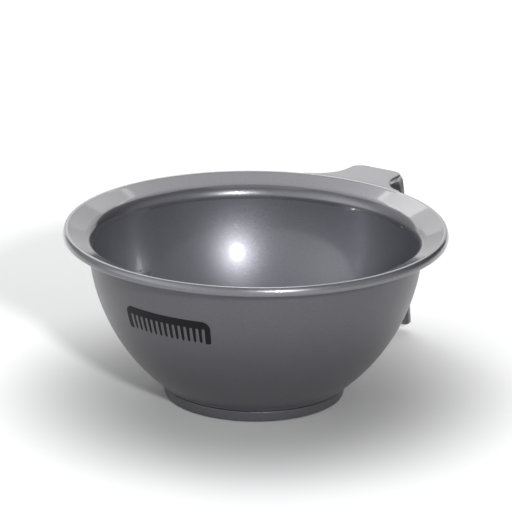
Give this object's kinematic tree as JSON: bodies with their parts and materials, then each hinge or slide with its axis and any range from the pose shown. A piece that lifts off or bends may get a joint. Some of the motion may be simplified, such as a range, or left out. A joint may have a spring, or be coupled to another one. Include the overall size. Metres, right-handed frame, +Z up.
{
  "type": "hair color bowl",
  "caption": "Round tint mixing bowl with a sloping flange and downturned lip, a foot ring with a rubber pad, and a hook handle that bends down beside the wall.",
  "frame": {"origin": "centre of the non-slip pad's underside, on the bowl's axis and on the table", "axes": "+Z up along the bowl's axis, +Y from the bowl's axis towards the hook handle, +X to the right of the handle seen from above with the handle pointing away"},
  "size_m": [0.145, 0.1668, 0.0659],
  "materials": {
    "satin_shell": "silver-grey pearl polypropylene, satin outside, polished inside",
    "gloss_shell": "silver-grey pearl polypropylene, polished",
    "pad_rubber": "matt dark rubber",
    "print_ink": "thin black pad-printed ink"
  },
  "bodies": {
    "root": {"bowl_body": "satin_shell", "rim_flange": "gloss_shell", "foot_ring": "gloss_shell", "handle_tab": "gloss_shell", "handle_leg": "gloss_shell", "base_pad": "pad_rubber"}
  },
  "joints": []
}
